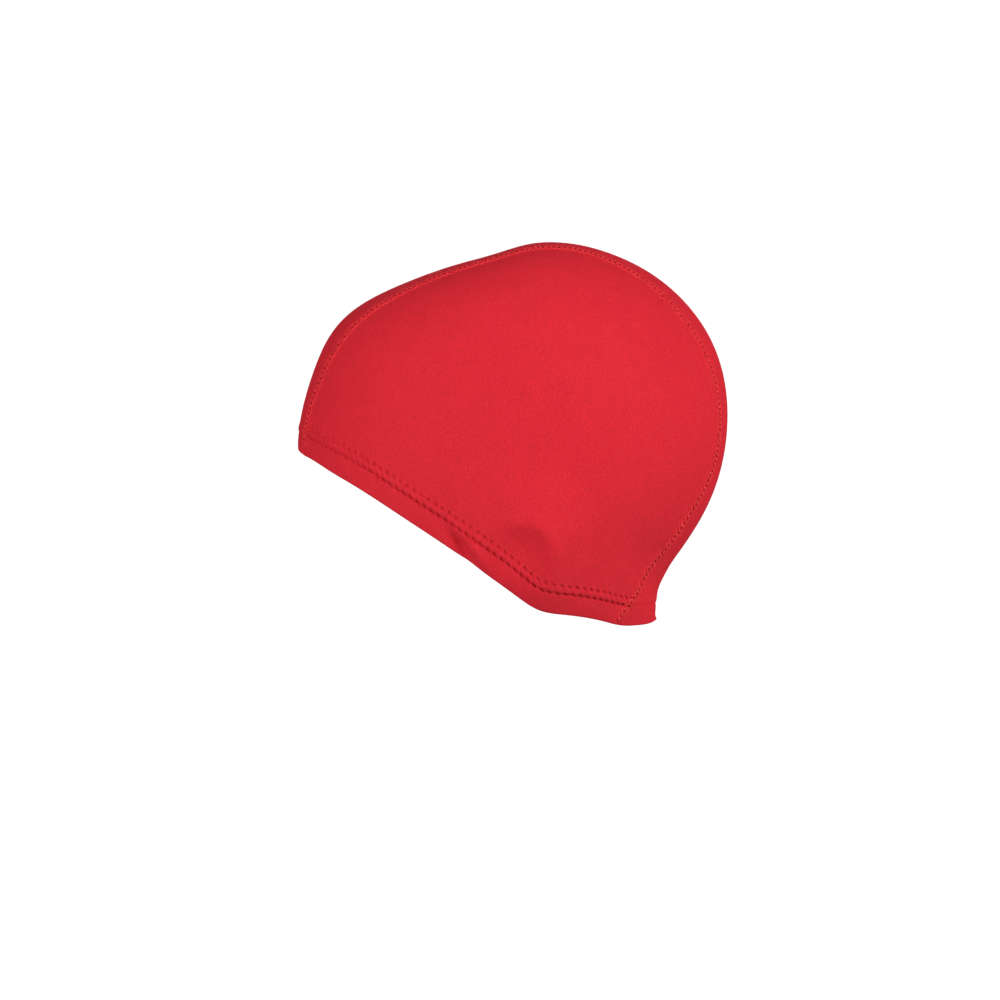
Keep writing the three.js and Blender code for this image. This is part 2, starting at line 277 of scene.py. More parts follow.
def round_curve(rows, column):
    """Curve of a column over all directions, with four rows repeated past each end."""
    direction = rows["direction"]
    value = rows[column]
    return smooth_curve(
        np.concatenate([direction[-4:] - 360, direction, direction[:4] + 360]),
        np.concatenate([value[-4:], value, value[:4]]),
    )


outline_reach = round_curve(outline, "reach")
outline_tuck = round_curve(outline, "tuck")
side_reach = round_curve(side_form, "reach")
half_width = smooth_curve(centre_form["direction"], centre_form["half_width"])
edge_up = smooth_curve(lower_edge["along"], lower_edge["up"])
edge_rise = smooth_curve(lower_edge["along"], lower_edge["rise"])
print("crown reach", round(float(outline_reach(90)), 4))

# %% [markdown]
# ## The form of the worn cap
# A place on the cap is one complex number: its angle is the direction round the side pole, and
# its size the swing, from 0 at the pole to a quarter turn on the middle plane. Complex numbers
# turn and scale whole arrays in one step, and a fan of places makes a surface with no seam in it.


# %% Places and points
def place_at(direction, swing):
    """Complex place: swing times (cos direction + i sin direction)."""
    return swing * np.exp(1j * np.radians(direction))


def direction_of(place):
    """Angle of a place in degrees, counted up from the first row of the outline."""
    direction = np.degrees(np.angle(place))
    return np.where(direction < outline["direction"][0], direction + 360, direction)


# %% Points of the form
def form_point(place):
    """Outer face of the cloth on the left side, before the ear and the creases move it.

    With s the sine of the swing, the reach from the side pole is s (side + (outline - side) s^4)
    and the distance from the middle plane is half the width times the cosine of the swing, made
    fuller by a share of s^2 and by the outline's tuck times s^4.
    """
    swing = np.abs(place)
    direction = direction_of(place)
    turn = np.radians(direction)
    sine = np.sin(swing)
    side = side_reach(direction)
    reach = sine * (side + (outline_reach(direction) - side) * sine**4)
    fuller = 1 + side_fullness * sine**2 + outline_tuck(direction) * sine**4
    return np.stack(
        [
            cap_width / 2 * np.cos(swing) * fuller,
            cap_length * (pole["along"] + reach * np.cos(turn)),
            cloth_thickness + cap_height * (pole["up"] + reach * np.sin(turn)),
        ],
        axis=-1,
    )


def unit(vectors):
    """Vectors of length one."""
    return vectors / np.linalg.norm(vectors, axis=-1, keepdims=True)


def form_normal(place, nudge=0.004):
    """Outward direction: the cross product of the surface's slopes along both ways."""
    along = form_point(place + nudge) - form_point(place - nudge)
    up = form_point(place + 1j * nudge) - form_point(place - 1j * nudge)
    return unit(np.cross(along, up))


def run_along(points):
    """Length run along a line of points, from 0 at the first one."""
    return np.concatenate([[0], np.cumsum(np.linalg.norm(np.diff(points, axis=0), axis=1))])


def root_of(miss, start, nudge=1e-5, steps=7):
    """Where a function is zero, by Newton's steps on whole arrays."""
    root = start
    for _ in range(steps):
        root = root - 2 * nudge * miss(root) / (miss(root + nudge) - miss(root - nudge))
    return root


print("crown at", np.round(form_point(place_at(90, quarter_turn)) / mm, 1), "mm")

# %% [markdown]
# ## Lines on the form
# Panels end on two kinds of line: lengthwise lines, at a share of the centre panel's half width,
# and level lines, at some height above the lower edge. Both are found by solving for the swing,
# so the seams and the hem lie exactly on the surface.


# %% Lengthwise and level lines
def swing_at(x, direction):
    """Swing at which the cloth is a distance x from the middle plane."""
    start = np.full(np.broadcast(x, direction).shape, 0.8 * quarter_turn)
    return root_of(lambda swing: form_point(place_at(direction, swing))[..., 0] - x, start)


def lengthwise(share, clearance, direction):
    """Place on the line at a share of the centre panel's half width, moved by a clearance."""
    x = share * (half_width(direction) * cap_width + clearance)
    return place_at(direction, swing_at(x, direction))


def level_height(y, lift):
    """Height of the line that lies some way up the hem."""
    along = y / cap_length
    return cloth_thickness + cap_height * edge_up(along) + lift * edge_rise(along)


def lift_of(point):
    """How far up from the lower edge a point lies, measured along the hem's own slant."""
    along = point[..., 1] / cap_length
    edge = cloth_thickness + cap_height * edge_up(along)
    return (point[..., 2] - edge) / edge_rise(along)


# %% [markdown]
# ## Crossings and level lines
# Where two lines cross has no formula, but it is easy to tell on which side of the level line a
# point lies, so the search halves the stretch between one above it and one below it. A level line
# is solved the other way round, from its height to the swing, for all its points at once.


# %% Crossings
def crossing(share, clearance, above, below, lift, halvings=32):
    """Direction in which a lengthwise line crosses a level line, by halving the search."""
    inside = np.full(np.broadcast(share, lift).shape, float(above))
    outside = np.full(inside.shape, float(below))
    for _ in range(halvings):
        middle = (inside + outside) / 2
        point = form_point(lengthwise(share, clearance, middle))
        higher = point[..., 2] > level_height(point[..., 1], lift)
        inside = np.where(higher, middle, inside)
        outside = np.where(higher, outside, middle)
    return inside


def front_crossing(share, clearance, lift):
    """Crossing on the way from straight up to straight down over the forehead."""
    return crossing(share, clearance, 90, 270, lift)


def nape_crossing(share, clearance, lift):
    """Crossing on the way from straight up to straight down over the nape."""
    return crossing(share, clearance, 90, -90, lift)


# %% Level lines
def evenly(places, count):
    """A line of places divided into count steps of even length on the cloth."""
    run = run_along(form_point(places))
    wanted = np.linspace(0, run[-1], count + 1)
    return np.interp(wanted, run, places.real) + 1j * np.interp(wanted, run, places.imag)


def level_place(y, lift):
    """Place of a side panel on a level line at y.

    The flat distance from the pole is s side + (outline - side) s^5, which is solved for the
    sine s of the swing.
    """
    flat = y / cap_length - pole["along"]
    flat = flat + 1j * ((level_height(y, lift) - cloth_thickness) / cap_height - pole["up"])
    direction = direction_of(flat)
    side = side_reach(direction)
    detail = outline_reach(direction) - side
    distance = np.abs(flat)
    sine = root_of(lambda s: s * side + detail * s**5 - distance, distance / side)
    return place_at(direction, np.arcsin(np.minimum(1, sine)))


def level_lines(lifts, count, samples=601):
    """Level lines of a side panel from the front seam back to the nape, in even steps."""
    clearance = seam_gap / 2
    front = lengthwise(1.0, clearance, front_crossing(1.0, clearance, lifts))
    nape = lengthwise(1.0, clearance, nape_crossing(1.0, clearance, lifts))
    y = np.linspace(form_point(front)[:, 1], form_point(nape)[:, 1], samples, axis=1)
    places = level_place(y, np.asarray(lifts)[:, None])
    places[:, 0] = front
    places[:, -1] = nape
    return np.array([evenly(line, count) for line in places])


meets = [crosses(1.0, 0.0, hem_height) for crosses in (front_crossing, nape_crossing)]
print("the seam meets the hem at", np.round(meets, 1), "degrees")

# %% [markdown]
# ## Where a point lies from the seam and along the hem
# Stitches and the swellings beside them are set by two distances: how far a point is from the
# seam or the edge, and how far along it. Both are tables worked out once from the surface, and
# then read for every vertex by interpolation.

# %% Seam and hem measures
measure_count = 2400
below_nape = -84
below_forehead = 205
swing_nudge = 0.002
seam_direction = np.linspace(below_nape, below_forehead, measure_count)
seam_swing = np.abs(lengthwise(1.0, 0.0, seam_direction))
seam_points = form_point(place_at(seam_direction, seam_swing))
seam_run = run_along(seam_points)

# Both ways on the surface at the seam: along it, and outward from the side pole
seam_tangent = unit(np.gradient(seam_points, axis=0))
farther = form_point(place_at(seam_direction, seam_swing + swing_nudge))
nearer = form_point(place_at(seam_direction, seam_swing - swing_nudge))
outward = farther - nearer
outward_scale = np.linalg.norm(outward, axis=1) / (2 * swing_nudge)
along_share = np.sum(unit(outward) * seam_tangent, axis=1)
across_share = np.sqrt(1 - along_share**2)


def seam_measure(place):
    """Distance inside the seam and run along it, both in metres.

    Inside is the swing still left to the seam, times the length of one unit of swing, times the
    sine of the angle at which the ray meets the seam. The run takes the cosine of that angle.
    """
    direction = direction_of(place)
    left = (np.interp(direction, seam_direction, seam_swing) - np.abs(place)) * np.interp(
        direction, seam_direction, outward_scale
    )
    inside = left * np.interp(direction, seam_direction, across_share)
    run = np.interp(direction, seam_direction, seam_run)
    return inside, run - left * np.interp(direction, seam_direction, along_share)


def seam_place(inside, run):
    """Place at a distance inside the seam and a run along it: the reverse of seam_measure."""
    direction = np.interp(run, seam_run, seam_direction)
    for _ in range(3):
        scale = np.interp(direction, seam_direction, across_share)
        left = inside / scale
        shifted = run + left * np.interp(direction, seam_direction, along_share)
        direction = np.interp(shifted, seam_run, seam_direction)
    swing = np.interp(direction, seam_direction, seam_swing)
    return place_at(direction, swing - left / np.interp(direction, seam_direction, outward_scale))


# %% Run along the hem
hem_line_lift = 0.8 * hem_height
hem_line = form_point(level_lines([hem_line_lift], 800)[0])
hem_run = run_along(hem_line)


def run_of(point):
    """Run along the hem of a side panel, from the front seam, read by the point's Y."""
    return np.interp(point[..., 1], hem_line[:, 1], hem_run)


print("seam", round(seam_run[-1] / mm), "mm, hem", round(hem_run[-1] / mm), "mm a side")

# %% [markdown]
# ## Relief of the cloth
# The hem is two layers held by two rows of stitches. Each stitch pulls a slanted pit into it, and
# the cloth between the rows swells into slanted lobes, like a rope. Sculpting would do this once,
# but a formula does it along the whole edge. Beside a seam the side panel stands up in a low band
# under the stitches, with a dimple at each needle hole. The two cut edges meet in a narrow valley.

# %% Relief sizes
# Rows of stitches up from the lower edge, and the length of a stitch in the hem and in the seam
lower_row = 9.8 * mm
upper_row = 13.3 * mm
hem_pitch = 3.85 * mm
seam_pitch = 2.5 * mm

# The seam's needle rows, from the join onto the side panel
band_near = 0.7 * mm
band_far = 4.9 * mm

# How far the cloth stands out, and how deep, long and slanted the hem's pits are
hem_puff = 0.2 * mm
rope_height = 0.5 * mm
lip_height = 0.3 * mm
band_height = 0.45 * mm
lower_pit = 1.15 * mm
upper_pit = 0.75 * mm
lower_pit_half = 1.1 * mm
upper_pit_half = 0.8 * mm
pit_half_width = 0.58 * mm
pit_slant = 0.25
print("hem stitches a side", int(hem_run[-1] / hem_pitch))


# %% Bell curves and stitches
def hill(distance, width):
    """Bell curve: 1 at distance 0, and about a third at the width."""
    return np.exp(-((distance / width) ** 2))


def block(distance, half):
    """Flat-topped bump: near 1 within half a width of distance 0, and near 0 beyond it."""
    return np.exp(-((distance / half) ** 4))


def from_stitch(run, pitch, shift=0.0):
    """Signed distance to the nearest stitch of a row, whose stitches start a share of a pitch on."""
    return ((run / pitch + shift + 0.5) % 1 - 0.5) * pitch


# %% Relief of the hem and of the seam
def hem_relief(lift, run):
    """How far the hem's outside stands out: a puffed band, two rows of slanted pits, and a rope
    of slanted lobes between the rows."""
    row_gap = upper_row - lower_row
    band = np.clip(lift / lower_row, 0, 1)
    up_rope = (lift - lower_row) / row_gap
    crease = hill(from_stitch(run, hem_pitch, 0.5 * up_rope), 0.5 * mm)
    rope = np.clip(1 - (2 * up_rope - 1) ** 2, 0, 1) ** 0.6
    relief = hem_puff * np.sin(np.pi * band) ** 0.8 + rope_height * rope * (1 - 0.35 * crease)
    bumps = 1 - block(from_stitch(run, hem_pitch, 0.5), 0.95 * mm)
    relief = relief + 0.5 * rope_height * bumps * hill(lift - upper_row - 0.4 * mm, 0.9 * mm)
    for row, shift, depth, half_length in (
        (lower_row, 0.0, lower_pit, lower_pit_half),
        (upper_row, 0.5, upper_pit, upper_pit_half),
    ):
        along = from_stitch(run, hem_pitch, shift)
        across = lift - row + pit_slant * along
        relief = relief - 0.08 * depth * hill(lift - row, 0.5 * mm)
        relief = relief - depth * block(across, pit_half_width) * block(along, half_length)
    return relief


def seam_relief(inside, run):
    """How far the cloth stands out beside a seam: a valley at the join, a lip on the centre panel's
    edge, and on the side panel's a raised band with a dimple at every needle hole."""
    middle = (band_near + band_far) / 2
    half = (band_far - band_near) / 2
    relief = -0.2 * mm * hill(inside, 0.25 * mm) + lip_height * hill(inside + 0.55 * mm, 0.4 * mm)
    relief = relief + band_height * block(inside - middle, 1.25 * half)
    for row, shift in ((band_near, 0.0), (band_far, 0.5)):
        holes = hill(from_stitch(run, seam_pitch, shift), 0.6 * mm)
        relief = relief - 0.15 * mm * hill(inside - row, 0.4 * mm) * holes
    return relief


# %% [markdown]
# ## The ear and the creases
# The cloth lies over a flattened ear, whose rim shows as a soft ridge round a hollow, and it
# creases where it is drawn in: in the hem before the ear, and beside the seam at the back. Each of
# them is a bell curve in coordinates turned to its own slant. A sculpted dent would look the same,
# but it couldn't be moved with one number.


# %% Ear and creases
def seen_from(point, at, turn):
    """Offset of a point from a place of the side view, along and across a line turned by some
    degrees."""
    y = point[..., 1] - at["along"] * cap_length
    z = point[..., 2] - at["up"] * cap_height
    cosine = np.cos(np.radians(turn))
    sine = np.sin(np.radians(turn))
    return cosine * y + sine * z, cosine * z - sine * y


def ear_lift(point):
    """Flattened mound exp(-ln2 r^n), higher at the ear's rear rim."""
    across, up = seen_from(point, ear, -ear_lean)
    across = across / (ear_width / 2)
    up = up / (ear_height / 2)
    mound = np.exp(-np.log(2) * np.hypot(across, up) ** ear_roundness)
    return ear_rise * (1 + ear_rear_share * across) * mound + rim_lift(point)


def rim_lift(point):
    """The ear's rim pressed through the cloth: an arc of a ridge over the top and the rear of a
    shallow hollow, which fades out towards the front and below."""
    across, up = seen_from(point, ear_rim, 0)
    radius = np.hypot(across, up)
    turn = np.arctan2(up, across)
    arc = np.exp(-(((turn - 0.85) / 1.2) ** 4))
    hollow = hill(radius, 0.75 * rim_radius)
    return rim_height * (arc * hill(radius - rim_radius, rim_width) - hollow)


def fold_sink(point):
    """Sum of long bell-shaped hollows, one for each crease."""
    sink = np.zeros(point.shape[:-1])
    for k in range(len(folds["along"])):
        row = {name: column[k] for name, column in folds.items()}
        along, across = seen_from(point, row, row["turn"])
        along = 2 * along / (row["length"] * cap_length)
        across = 2 * across / (row["width"] * cap_length)
        sink = sink + row["depth"] * fold_depth * np.exp(-(along**2) - across**2)
    return sink


ear_middle = np.array([0.0, ear["along"] * cap_length, ear["up"] * cap_height])
print("the ear stands out", round(float(ear_lift(ear_middle)) / mm, 1), "mm")

# %% [markdown]
# ## The surface of the cloth
# The ear pushes the form out sideways, and the creases and the relief move it along its own
# outward direction. One function adds them up, and gives the inner face too when it is told how
# deep that lies. A Solidify modifier could make the inner face, but it would copy every stitch.


# %% Surface of the cloth
def cloth_point(place, depth=0.0, relief=0.0):
    """Point of the cloth on the left side, some depth under its outer face."""
    point = form_point(place)
    lift = ear_lift(point)
    out = relief - depth - fold_sink(point)
    point = point + form_normal(place) * np.asarray(out)[..., None]
    point[..., 0] += lift
    return point


def centre_strength(point):
    """Share of the hem's relief that shows on the centre panel, where the cloth is pulled tight:
    most of it at the forehead and little at the nape."""
    return np.where(point[..., 1] > 0, 0.25, 0.8)


def outer_relief(place):
    """Relief of the outer face at a place of a side panel."""
    point = form_point(place)
    inside, run = seam_measure(place)
    lift = lift_of(point)
    near_seam = np.clip(1 - inside / (2 * mm), 0, 1)
    strength = 1 + (centre_strength(point) - 1) * near_seam
    return hem_relief(lift, run_of(point)) * strength + seam_relief(inside, run)


# %% [markdown]
# ## From grids to meshes
# A panel is several grids of points that share their borders: rings of the outer and of the inner
# face, and rows down and round the hem. Each grid is one array, and the faces between its rows are
# arrays of numbers too, so a hundred thousand faces take no loop.


# %% Grids of faces
def grid_faces(numbers, closed=False):
    """Four-sided faces between the rows of a grid of vertex numbers."""
    nxt = np.roll(numbers, -1, axis=1) if closed else numbers[:, 1:]
    now = numbers if closed else numbers[:, :-1]
    return np.stack([now[:-1], nxt[:-1], nxt[1:], now[1:]], axis=-1).reshape(-1, 4)


def strip_faces(column, other):
    """Faces between two lines of vertex numbers that run side by side."""
    return np.stack([column[:-1], column[1:], other[1:], other[:-1]], axis=-1)


def make_mesh(name, points, quads, triangles, knit, material, turned_over=False):
    """An object from arrays of points and faces, smooth, with its own map for the knit."""
    if turned_over:
        quads = quads[:, ::-1]
        triangles = triangles[:, ::-1]
    loops = np.concatenate([quads.ravel(), triangles.ravel()])
    sizes = np.concatenate([np.full(len(quads), 4), np.full(len(triangles), 3)])
    mesh = bpy.data.meshes.new(name)
    mesh.vertices.add(len(points))
    mesh.loops.add(len(loops))
    mesh.polygons.add(len(sizes))
    mesh.vertices.foreach_set("co", points.ravel())
    mesh.loops.foreach_set("vertex_index", loops.astype(np.int32))
    mesh.polygons.foreach_set("loop_start", np.concatenate([[0], np.cumsum(sizes)[:-1]]))
    mesh.polygons.foreach_set("use_smooth", np.ones(len(sizes), bool))
    mesh.update(calc_edges=True)
    layer = mesh.uv_layers.new(name="knit")
    layer.data.foreach_set("uv", knit[loops].ravel())
    mesh.validate()
    mesh.materials.append(material)
    piece = bpy.data.objects.new(name, mesh)
    bpy.context.scene.collection.objects.link(piece)
    print(name, len(points), "points", len(quads) * 2 + len(triangles), "triangles")
    return piece


# %% [markdown]
# ## The knit's finish
# The cloth is a fine polyamide and elastane knit: matt, a little satin, and so fine that single
# loops hardly show from a metre away. A soft grain in the bump breaks up the light, and a slow
# change of shade keeps a large panel from looking like plastic. The seams' thread is glossier and
# brighter, which makes them show as bright bands. The hem's thread has the knit's own red.

# %% Materials
knit_red = (0.61, 0.0205, 0.033, 1.0)
thread_red = (0.8, 0.036, 0.046, 1.0)


# %% Helpers for nodes
def new_material(name, roughness, specular):
    """A material with its constant values on the shader's own sockets."""
    material = bpy.data.materials.new(name)
    material.use_nodes = True
    shader = material.node_tree.nodes["Principled BSDF"]
    shader.inputs["Roughness"].default_value = roughness
    shader.inputs["Specular IOR Level"].default_value = specular
    return material, shader


def texture(nodes, links, vector, kind, scale, detail=2.0):
    """A noise or wave texture on the given vector."""
    node = nodes.new(kind)
    node.inputs["Scale"].default_value = scale
    node.inputs["Detail"].default_value = detail
    links.new(vector, node.inputs["Vector"])
    return node


def shaded(nodes, links, factor, colour, spread):
    """A colour made darker or lighter, by up to a share, as a factor runs from 0.3 to 0.7."""
    ramp = nodes.new("ShaderNodeValToRGB")
    for element, position, share in zip(
        ramp.color_ramp.elements, (0.3, 0.7), (1 - spread, 1 + spread)
    ):
        element.position = position
        element.color = [min(1.0, share * c) for c in colour[:3]] + [1.0]
    links.new(factor, ramp.inputs["Fac"])
    return ramp.outputs["Color"]


def bump(nodes, links, height, strength, distance):
    """A bump node that reads its height from a texture."""
    node = nodes.new("ShaderNodeBump")
    node.inputs["Strength"].default_value = strength
    node.inputs["Distance"].default_value = distance
    links.new(height, node.inputs["Height"])
    return node


# %% Knit and thread
def knit_material(name, colour):
    """Fine stretch knit: slow changes of shade, grain, and rows of loops in the bump."""
    material, shader = new_material(name, roughness=0.62, specular=0.03)
    nodes = material.node_tree.nodes
    links = material.node_tree.links
    place = nodes.new("ShaderNodeTexCoord")
    chart = nodes.new("ShaderNodeUVMap")
    chart.uv_map = "knit"
    slow = texture(nodes, links, place.outputs["Object"], "ShaderNodeTexNoise", 110.0, 5.0)
    slow.inputs["Roughness"].default_value = 0.7
    grain = texture(nodes, links, place.outputs["Object"], "ShaderNodeTexNoise", 1100.0, 2.0)
    wales = texture(nodes, links, chart.outputs["UV"], "ShaderNodeTexWave", 520.0)
    wales.wave_type = "BANDS"
    wales.bands_direction = "X"
    wales.inputs["Distortion"].default_value = 2.0
    shade = nodes.new("ShaderNodeMix")
    shade.data_type = "FLOAT"
    shade.inputs["Factor"].default_value = 0.75
    links.new(slow.outputs["Fac"], shade.inputs["A"])
    links.new(grain.outputs["Fac"], shade.inputs["B"])
    red = shaded(nodes, links, shade.outputs["Result"], colour, spread=0.14)
    links.new(red, shader.inputs["Base Color"])
    fine = bump(nodes, links, wales.outputs["Fac"], strength=0.2, distance=0.08 * mm)
    soft = bump(nodes, links, grain.outputs["Fac"], strength=0.6, distance=0.2 * mm)
    links.new(fine.outputs["Normal"], soft.inputs["Normal"])
    links.new(soft.outputs["Normal"], shader.inputs["Normal"])
    return material


def thread_material(name, colour):
    """Spun thread: glossier than the knit, with a twist in the bump."""
    material, shader = new_material(name, roughness=0.4, specular=0.25)
    nodes = material.node_tree.nodes
    links = material.node_tree.links
    chart = nodes.new("ShaderNodeUVMap")
    chart.uv_map = "knit"
    place = nodes.new("ShaderNodeTexCoord")
    twist = texture(nodes, links, chart.outputs["UV"], "ShaderNodeTexWave", 0.35)
    twist.bands_direction = "DIAGONAL"
    fibre = texture(nodes, links, place.outputs["Object"], "ShaderNodeTexNoise", 1500.0, 3.0)
    red = shaded(nodes, links, fibre.outputs["Fac"], colour, spread=0.1)
    links.new(red, shader.inputs["Base Color"])
    twisted = bump(nodes, links, twist.outputs["Fac"], strength=0.5, distance=0.05 * mm)
    links.new(twisted.outputs["Normal"], shader.inputs["Normal"])
    return material


side_knit = knit_material("side_knit", knit_red)
centre_knit = knit_material("centre_knit", knit_red)
seam_thread = thread_material("seam_thread", thread_red)
hem_thread = thread_material("hem_thread", knit_red)
print("materials", [material.name for material in (side_knit, centre_knit, seam_thread, hem_thread)])

# %% [markdown]
# ## The side panels
# Each side panel is a fan of rings from the side pole out to its edge. The rings come in groups,
# closer together towards the edge, where the stitches are, and each group has twice the stations
# of the one inside it. One even grid would waste most of its faces on the plain middle.

# %% Rings of the side panels
seam_stations = 880
hem_stations = 880
fold_radius = hem_thickness / 2

# Gaps between the rings from the pole outwards. Each group has twice the stations of the last.
ring_gaps = [
    np.concatenate([[1.5], np.linspace(4.2, 2.2, 14)]),
    np.linspace(1.9, 0.9, 16),
    np.concatenate([np.full(3, 0.8), np.full(12, 0.42)]),
]
ring_share = np.cumsum(np.concatenate(ring_gaps)) / np.sum(np.concatenate(ring_gaps))
outer_groups = np.split(ring_share, np.cumsum([len(gaps) for gaps in ring_gaps])[:-1])
inner_groups = [np.array([0.1, 0.3, 0.5, 0.7, 0.85, 0.94]), np.array([0.98]), np.array([1.0])]


def edge_round(count_seam, count_hem, samples=1201):
    """Places round a side panel: along its seam from the forehead to the nape, then forward along
    the top of the hem."""
    directions = np.linspace(
        front_crossing(1.0, seam_gap / 2, hem_height),
        nape_crossing(1.0, seam_gap / 2, hem_height),
        samples,
    )
    seam = evenly(lengthwise(1.0, seam_gap / 2, directions), count_seam)
    top = level_lines([hem_height], count_hem)[0]
    return np.concatenate([seam, top[1:-1][::-1]])


print("rings", [len(gaps) for gaps in ring_gaps], "stations", seam_stations + hem_stations)

# %% [markdown]
# ## The turned-up hem
# Below its last ring the outer face goes on down the hem, round the fold and up the turned-in
# allowance to its raw edge. Two separate sheets would need a join, so this is one profile, given
# by how far up the hem each row lies and how deep under the outer face.

# %% Profile of the hem
pit_row_step = 0.4 * mm
last_pit_row = lower_row - 1.6 * mm
first_plain_row = lower_row - 2.2 * mm


def fold_profile():
    """Lift and depth down the outside of the hem, round its fold and up its inside.

    The fold is a half circle: lift = r - r sin a and depth = r - r cos a, for a from 0 to a half
    turn.
    """
    turn = np.linspace(0, np.pi, 9)
    down = np.concatenate(
        [
            np.arange(hem_height, last_pit_row, -pit_row_step)[1:],
            np.linspace(first_plain_row, fold_radius, 10)[:-1],
        ]
    )
    up = np.linspace(fold_radius, 0.95 * hem_height, 9)[1:]
    edge_lift = [0.99 * hem_height, hem_height]
    edge_depth = [cloth_thickness + 0.85 * fold_radius, cloth_thickness + 0.45 * fold_radius]
    inside = np.full(len(up), hem_thickness)
    lift = np.concatenate([down, fold_radius * (1 - np.sin(turn)), up, edge_lift])
    depth = np.concatenate([0 * down, fold_radius * (1 - np.cos(turn)), inside, edge_depth])
    return lift, depth


def hem_inner_pinch(lift):
    """How much thinner the hem is at its two rows of stitches, seen from inside."""
    return 0.3 * mm * (hill(lift - lower_row, 0.9 * mm) + hill(lift - upper_row, 0.7 * mm))


print("rows round the hem", len(fold_profile()[0]))

# %% [markdown]
# ## Both side panels
# A panel is its outer rings, its inner rings and the hem between them, closed along the seam by
# the cloth's cut edge. The right panel is the mirror of the left one, with its faces turned over
# so that they still point outwards.


# %% Side panels
def widening_faces(ring, wider):
    """Triangles between a ring and the next one out, which has twice as many stations."""
    nxt = np.roll(ring, -1)
    even, odd = wider[::2], wider[1::2]
    corners = [(ring, odd, even), (ring, nxt, odd), (nxt, np.roll(even, -1), odd)]
    return np.concatenate([np.stack(corner, axis=-1) for corner in corners])


def ring_fan(edge, groups, first):
    """Places, faces and last ring of the rings round the pole, numbered from the first."""
    start = first + 1
    places = [np.zeros(1, complex)]
    quads, triangles, last = [], [], None
    for k, shares in enumerate(groups):
        rings = shares[:, None] * edge[None, :: 2 ** (len(groups) - 1 - k)]
        numbers = start + np.arange(rings.size).reshape(rings.shape)
        places.append(rings.ravel())
        quads.append(grid_faces(numbers, closed=True))
        if last is None:
            ring = numbers[0]
            triangles.append(np.stack([np.full(len(ring), first), np.roll(ring, -1), ring], axis=-1))
        else:
            triangles.append(widening_faces(last, numbers[0]))
        last = numbers[-1]
        start += rings.size
    return np.concatenate(places), np.concatenate(quads), np.concatenate(triangles), last


def hem_end(column):
    """Faces across the end of a hem, whose vertex numbers run down its outside and up its
    inside."""
    half = len(column) // 2
    return strip_faces(column[:half], column[::-1][:half])


# %% One side panel
def side_panel(name, side, material):
    """A closed side panel of the left or the right side."""
    edge = edge_round(seam_stations, hem_stations)
    outer_places, outer_quads, outer_triangles, outer_edge = ring_fan(edge, outer_groups, 0)
    inner_start = len(outer_places)
    inner_places, inner_quads, inner_triangles, inner_edge = ring_fan(edge, inner_groups, inner_start)
    lift, depth = fold_profile()
    hem_places = level_lines(lift, hem_stations)
    hem_start = inner_start + len(inner_places)
    hem_numbers = hem_start + np.arange(hem_places.size).reshape(hem_places.shape)
    outside = np.clip(1 - depth / fold_radius, 0, 1)[:, None]
    pinch = hem_inner_pinch(lift)[:, None] * (depth > fold_radius)[:, None]
    hem = cloth_point(hem_places, depth[:, None] - pinch, outer_relief(hem_places) * outside)
    points = np.concatenate(
        [
            cloth_point(outer_places, 0.0, outer_relief(outer_places)),
            cloth_point(inner_places, cloth_thickness),
            hem.reshape(-1, 3),
        ]
    )
    places = np.concatenate([outer_places, inner_places, hem_places.ravel()])
    knit = np.stack([places.real, places.imag], axis=-1) * cap_length / 2

    def along_hem(last_ring):
        back = last_ring[seam_stations + 1 :][::-1]
        return np.concatenate([last_ring[:1], back, last_ring[seam_stations : seam_stations + 1]])

    band = np.vstack([along_hem(outer_edge), hem_numbers, along_hem(inner_edge)])
    quads = np.concatenate(
        [
            outer_quads,
            inner_quads[:, ::-1],
            grid_faces(band)[:, ::-1],
            strip_faces(outer_edge[: seam_stations + 1], inner_edge[: seam_stations + 1]),
            hem_end(band[:, 0])[:, ::-1],
            hem_end(band[:, -1]),
        ]
    )
    triangles = np.concatenate([outer_triangles, inner_triangles[:, ::-1]])
    points[:, 0] *= side
    return make_mesh(name, points, quads, triangles, knit, material, turned_over=side < 0)


# %% Make both side panels
left_cloth = side_panel("side_cloth_left", 1, side_knit)
right_cloth = side_panel("side_cloth_right", -1, side_knit)

# %% [markdown]
# ## The centre panel
# It is a strip from the forehead over the crown to the nape, so its grid has lines along it and
# stations across it. Each line is a closed loop that runs over the crown, round the nape hem, back
# on the inside and round the forehead hem, which keeps the wall's thickness even all the way.

# %% Centre panel
over_stations = 620
nape_flare = 1.3 * mm
nape_rise = 2.2 * mm
forehead_rise = 1 * mm
edge_columns = np.cumsum(np.concatenate([[0], np.full(8, 0.018), np.linspace(0.03, 0.09, 12)]))
column_share = 1 - edge_columns / edge_columns[-1]
column_share = np.concatenate([-column_share, column_share[::-1][1:]])


def centre_relief(place, share):
    """Relief of the centre panel: shallow hems at both ends, a lip along both seams, and a small
    flare of the fold at the nape."""
    point = form_point(place)
    inside, run = seam_measure(place)
    lift = lift_of(point)
    hem = hem_relief(lift, share * half_width(direction_of(place)) * cap_width)
    at_nape = (point[..., 1] > 0) * hill(lift, 2.5 * mm) * hill(point[..., 0], 14 * mm)
    return centre_strength(point) * hem + seam_relief(inside, run) + nape_flare * at_nape


def end_rise(point):
    """How far the fold is drawn up on the middle plane, at the forehead and at the nape."""
    low = np.clip(1 - lift_of(point) / (8 * mm), 0, 1) ** 2
    return low * hill(point[..., 0], 11 * mm) * np.where(point[..., 1] > 0, nape_rise, forehead_rise)


